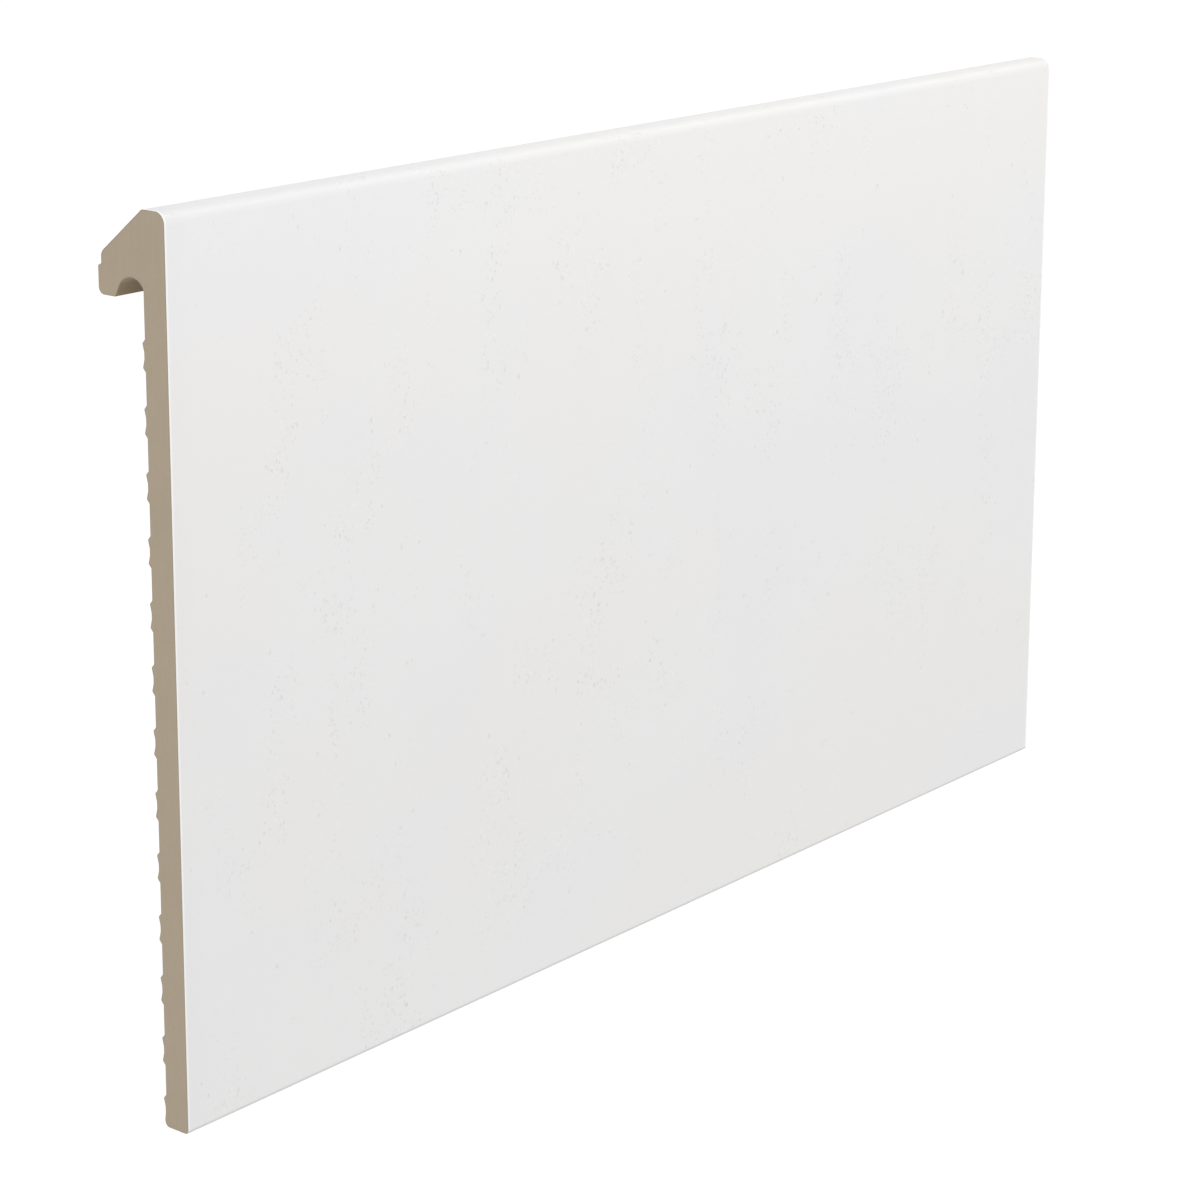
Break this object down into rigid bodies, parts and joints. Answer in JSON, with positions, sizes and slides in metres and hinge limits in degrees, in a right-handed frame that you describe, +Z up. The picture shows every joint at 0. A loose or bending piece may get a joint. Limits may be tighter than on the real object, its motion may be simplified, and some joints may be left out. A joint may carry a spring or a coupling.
{
  "type": "cover skirting board",
  "caption": "Short length of a straight cover skirting board: a flat coated face, a hooked top that reaches back over an old skirting, and glue ribs along the back.",
  "frame": {"origin": "centre of the bottom of the box around the part, at floor level, halfway along the length and halfway between the front face and the wall", "axes": "+X along the length of the skirting, +Y from the front face towards the wall behind it, +Z up from the floor"},
  "size_m": [0.25, 0.015, 0.15],
  "materials": {
    "polymer_core": "dense foamed polymer, bare where sawn and on the back",
    "primer": "smooth white factory primer, satin"
  },
  "bodies": {
    "root": {"core_profile": "polymer_core", "primer_coat": "primer"}
  },
  "joints": []
}
